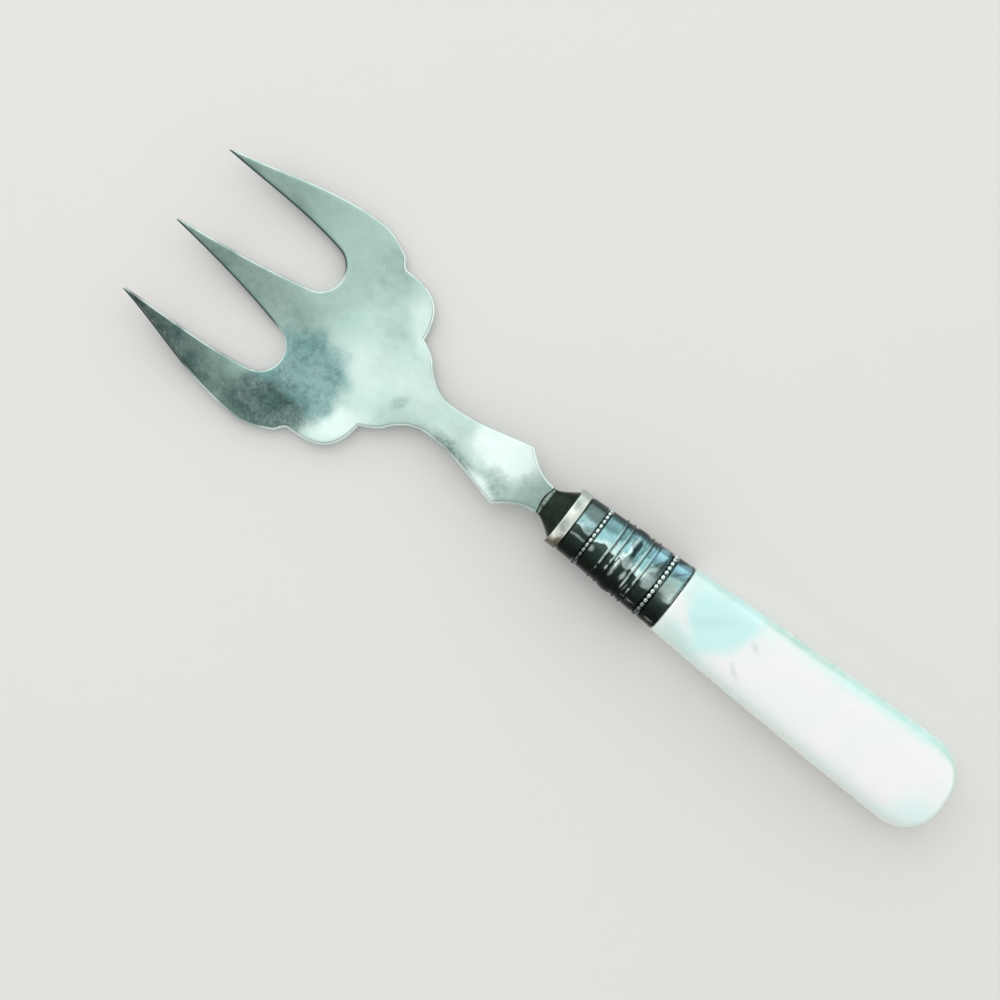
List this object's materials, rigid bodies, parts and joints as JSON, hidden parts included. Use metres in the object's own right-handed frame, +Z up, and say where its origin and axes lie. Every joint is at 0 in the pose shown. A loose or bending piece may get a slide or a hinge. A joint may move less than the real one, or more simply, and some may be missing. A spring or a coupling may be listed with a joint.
{
  "type": "cold meat fork",
  "caption": "Serving fork with a scalloped silver-plated tined head, a flared bolster, a reeded and beaded ferrule and a mother-of-pearl handle, for lifting cold meats.",
  "frame": {"origin": "on the table, under the middle of the fork's length and width", "axes": "+X along the fork from the handle to the tine tips, +Y across it, +Z up through the hollow side of the tines"},
  "size_m": [0.1908, 0.0488, 0.0105],
  "materials": {
    "silver_plate": "polished",
    "darkened_silver": "polished",
    "worn_silver": "satin",
    "oxidised_silver": "polished",
    "bead_silver": "polished",
    "mother_of_pearl": "polished",
    "cutlers_cement": "matte"
  },
  "bodies": {
    "root": {"fork_head": "silver_plate", "bolster": "darkened_silver", "bolster_collar": "worn_silver", "ferrule_band": "oxidised_silver", "front_bead_wire": "bead_silver", "rear_bead_wire": "bead_silver", "pearl_handle": "mother_of_pearl", "tang_cement": "cutlers_cement"}
  },
  "joints": []
}
